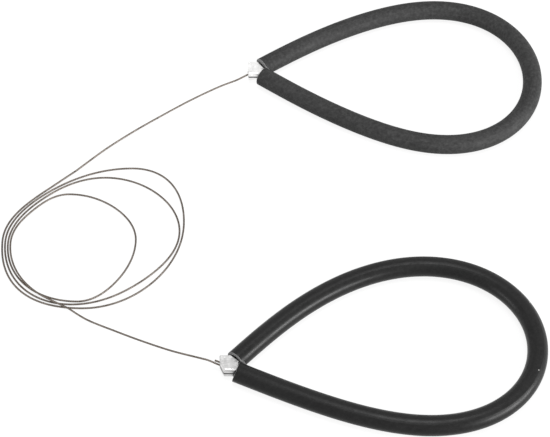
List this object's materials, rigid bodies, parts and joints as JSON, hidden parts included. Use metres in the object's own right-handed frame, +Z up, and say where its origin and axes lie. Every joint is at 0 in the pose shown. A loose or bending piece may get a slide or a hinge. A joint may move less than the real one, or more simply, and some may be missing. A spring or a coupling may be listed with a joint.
{
  "type": "clay cutter",
  "caption": "Clay cutting wire, loosely coiled, with a teardrop hand loop of black rubber tubing crimped onto each end.",
  "frame": {"origin": "bottom centre of the two hand loops' bounding box, on the surface that the tool lies on; the coil and the free wire are left out of that box", "axes": "+Z up from the surface; +Y from the lower hand loop to the upper one; +X to the right, where the hand loops point, with the coil on the left"},
  "size_m": [0.2655, 0.271, 0.0095],
  "materials": {
    "tubing": "satin black rubber tubing with faint die lines",
    "ferrule": "plain crimped sleeve",
    "wire": "thin twisted steel wire, dull grey"
  },
  "bodies": {
    "coil": {"wire_coil": "wire"},
    "upper_lead": {"upper_lead_wire": "wire"},
    "upper_loop": {"upper_grip_tube": "tubing", "upper_ferrule": "ferrule", "upper_grip_wire": "wire"},
    "lower_lead": {"lower_lead_wire": "wire"},
    "lower_loop": {"lower_grip_tube": "tubing", "lower_ferrule": "ferrule", "lower_grip_wire": "wire"}
  },
  "joints": [
    {"name": "upper_lead_swing", "type": "hinge", "parent": "coil", "child": "upper_lead", "pos_m": [-0.15163, 0.0232, 0.0004], "axis": [0, 0, 1], "range_deg": [-10, 20]},
    {"name": "upper_loop_lift", "type": "hinge", "parent": "upper_lead", "child": "upper_loop", "pos_m": [-0.06808, 0.08418, 0.00515], "axis": [0, -1, 0], "range_deg": [0, 90]},
    {"name": "lower_lead_swing", "type": "hinge", "parent": "coil", "child": "lower_lead", "pos_m": [-0.15085, -0.06175, 0.0017], "axis": [0, 0, 1], "range_deg": [-20, 10]},
    {"name": "lower_loop_lift", "type": "hinge", "parent": "lower_lead", "child": "lower_loop", "pos_m": [-0.07967, -0.09694, 0.00515], "axis": [0, -1, 0], "range_deg": [0, 90]}
  ]
}
